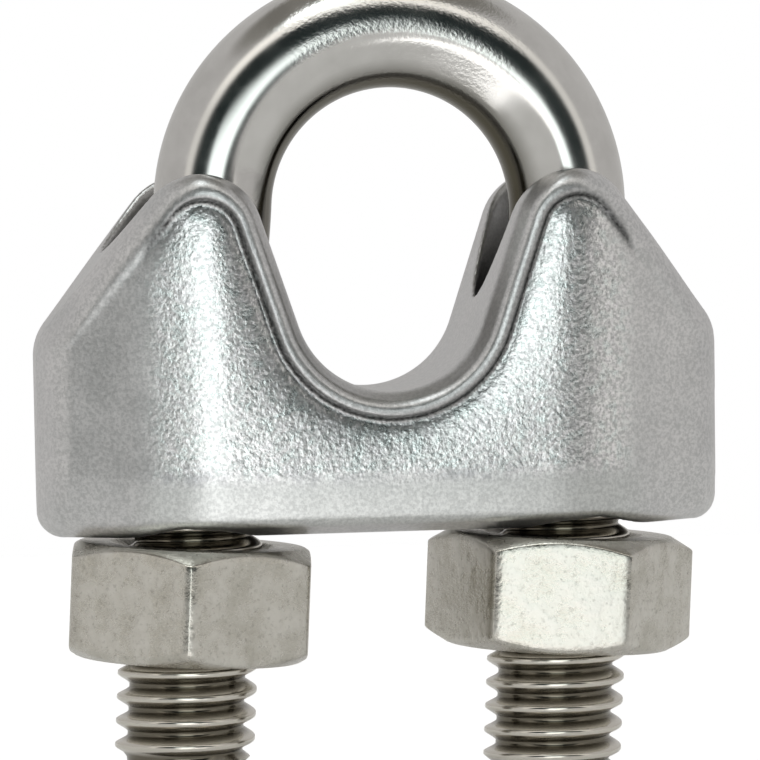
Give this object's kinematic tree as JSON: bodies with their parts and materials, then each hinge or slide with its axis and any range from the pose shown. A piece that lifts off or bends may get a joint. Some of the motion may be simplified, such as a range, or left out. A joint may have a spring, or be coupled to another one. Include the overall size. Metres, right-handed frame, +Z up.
{
  "type": "wire rope clip",
  "caption": "U-bolt wire rope clip: cast saddle with a rope seat and leg holes, round-bar U-bolt with threaded legs, and hexagon nuts that draw the U-bolt down onto the rope.",
  "frame": {"origin": "on the axis of the round rope seat, halfway along it", "axes": "+Y along the rope through the clip, +Z up from the saddle to the bow, +X towards the right leg seen along +Y"},
  "size_m": [0.0286, 0.0112, 0.034],
  "materials": {
    "cast_steel": "bright tumbled stainless investment casting, finely pebbled on its faces and smooth on its rims",
    "polished_bar": "polished stainless round bar with rolled threads",
    "nut_steel": "plain stainless nut, slightly warm and satin"
  },
  "bodies": {
    "saddle_body": {"saddle": "cast_steel"},
    "u_bolt_body": {"u_bolt": "polished_bar"},
    "nut_left_body": {"nut_left": "nut_steel"},
    "nut_right_body": {"nut_right": "nut_steel"}
  },
  "joints": [
    {"name": "u_bolt_travel", "type": "slide", "parent": "saddle_body", "child": "u_bolt_body", "axis": [0.0576, 0, 0.9983], "range_m": [-0.003, 0.0045]},
    {"name": "nut_left_turn", "type": "hinge", "parent": "saddle_body", "child": "nut_left_body", "pos_m": [-0.00803, 0, -0.01264], "axis": [0.0576, 0, 0.9983], "range_deg": [-1620, 1080]},
    {"name": "nut_right_turn", "type": "hinge", "parent": "saddle_body", "child": "nut_right_body", "pos_m": [0.00759, 0, -0.01264], "axis": [0.0576, 0, 0.9983], "range_deg": [-1620, 1080]}
  ],
  "couplings": [
    {"joint": "nut_left_turn", "follows": "u_bolt_travel", "rad_per_m": -6283.2},
    {"joint": "nut_right_turn", "follows": "u_bolt_travel", "rad_per_m": -6283.2}
  ]
}
